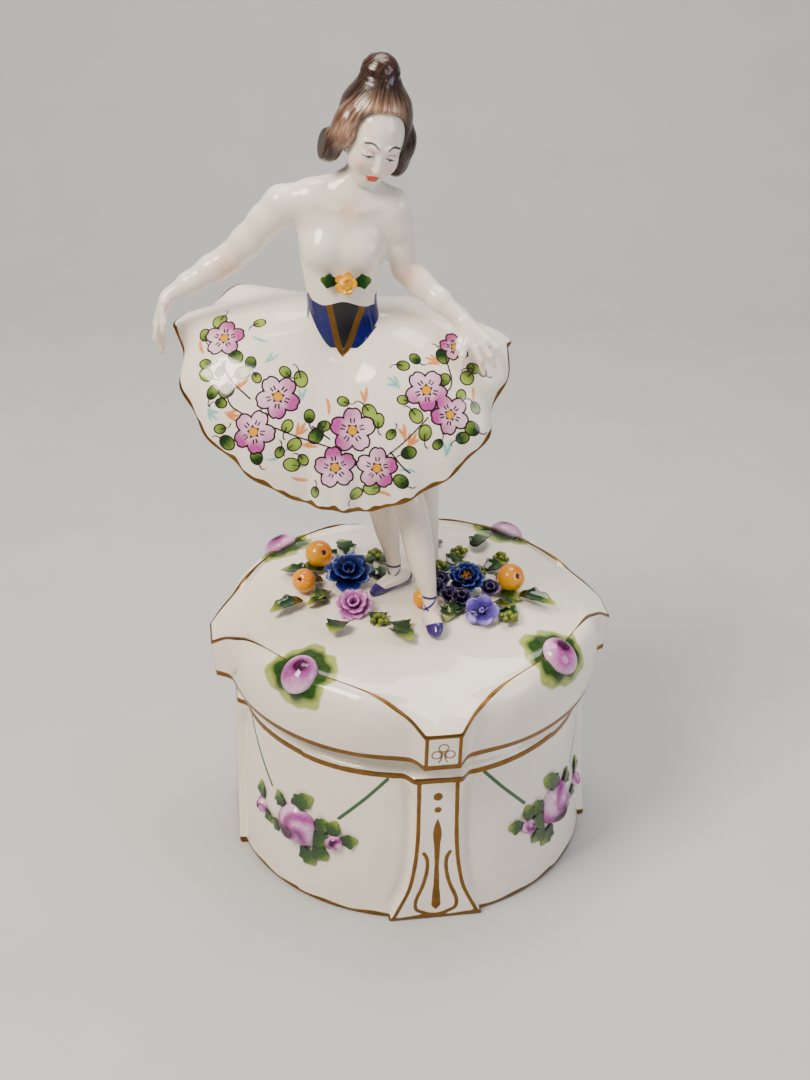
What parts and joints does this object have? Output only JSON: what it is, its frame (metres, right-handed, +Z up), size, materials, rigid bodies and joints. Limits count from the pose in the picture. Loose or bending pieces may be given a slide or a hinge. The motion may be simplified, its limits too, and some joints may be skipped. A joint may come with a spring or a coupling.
{
  "type": "jewellery box",
  "caption": "round porcelain trinket box on four flared pilasters, with a lift-off domed lid that carries a dancer in a flared skirt among applied flowers and fruit",
  "frame": {"origin": "centre of the box's flat underside, on the bench", "axes": "+Z up; -Y is the front pilaster, which the dancer looks over; +X is the viewer's right"},
  "size_m": [0.1215, 0.112, 0.2166],
  "materials": {
    "white_glaze": "clear glaze over white porcelain, with painted sprays and gilded lines",
    "flesh_glaze": "clear glaze over white porcelain, faint peach blush",
    "brown_glaze": "brushed brown enamel, glossy",
    "violet_glaze": "dark violet enamel, glossy",
    "green_glaze": "dark green enamel with pale tips, glossy",
    "pink_glaze": "pink enamel shaded to dark purple, glossy",
    "blue_glaze": "cobalt blue enamel, glossy",
    "yellow_glaze": "yellow enamel blushed with orange, glossy"
  },
  "bodies": {
    "box": {"box_body": "white_glaze", "garland_buds_back_left": "pink_glaze", "garland_buds_back_right": "pink_glaze", "garland_buds_front_left": "pink_glaze", "garland_buds_front_right": "pink_glaze", "garland_leaves_back_left": "green_glaze", "garland_leaves_back_right": "green_glaze", "garland_leaves_front_left": "green_glaze", "garland_leaves_front_right": "green_glaze", "garland_rose_back_left": "pink_glaze", "garland_rose_back_right": "pink_glaze", "garland_rose_front_left": "pink_glaze", "garland_rose_front_right": "pink_glaze"},
    "lid": {"back_leaves": "green_glaze", "berries": "green_glaze", "blue_flower_left_side": "blue_glaze", "blue_flower_right_side": "blue_glaze", "bodice_leaves": "green_glaze", "bodice_rose": "yellow_glaze", "dark_blossoms": "violet_glaze", "figure_mound": "white_glaze", "front_leaves": "green_glaze", "head": "flesh_glaze", "left_arm": "flesh_glaze", "left_leg": "flesh_glaze", "left_slipper": "violet_glaze", "lid_locating_ring": "white_glaze", "lid_rose_back_left": "pink_glaze", "lid_rose_back_right": "pink_glaze", "lid_rose_front_left": "pink_glaze", "lid_rose_front_right": "pink_glaze", "lid_shell": "white_glaze", "peaches": "yellow_glaze", "pink_flower": "pink_glaze", "right_arm": "flesh_glaze", "right_leg": "flesh_glaze", "right_slipper": "violet_glaze", "skirt": "white_glaze", "support_post": "white_glaze", "topknot": "brown_glaze", "torso": "flesh_glaze", "violet_flower": "violet_glaze"}
  },
  "joints": [
    {"name": "lid_lift", "type": "slide", "parent": "box", "child": "lid", "axis": [0, 0, 1], "range_m": [0, 0.08]}
  ]
}
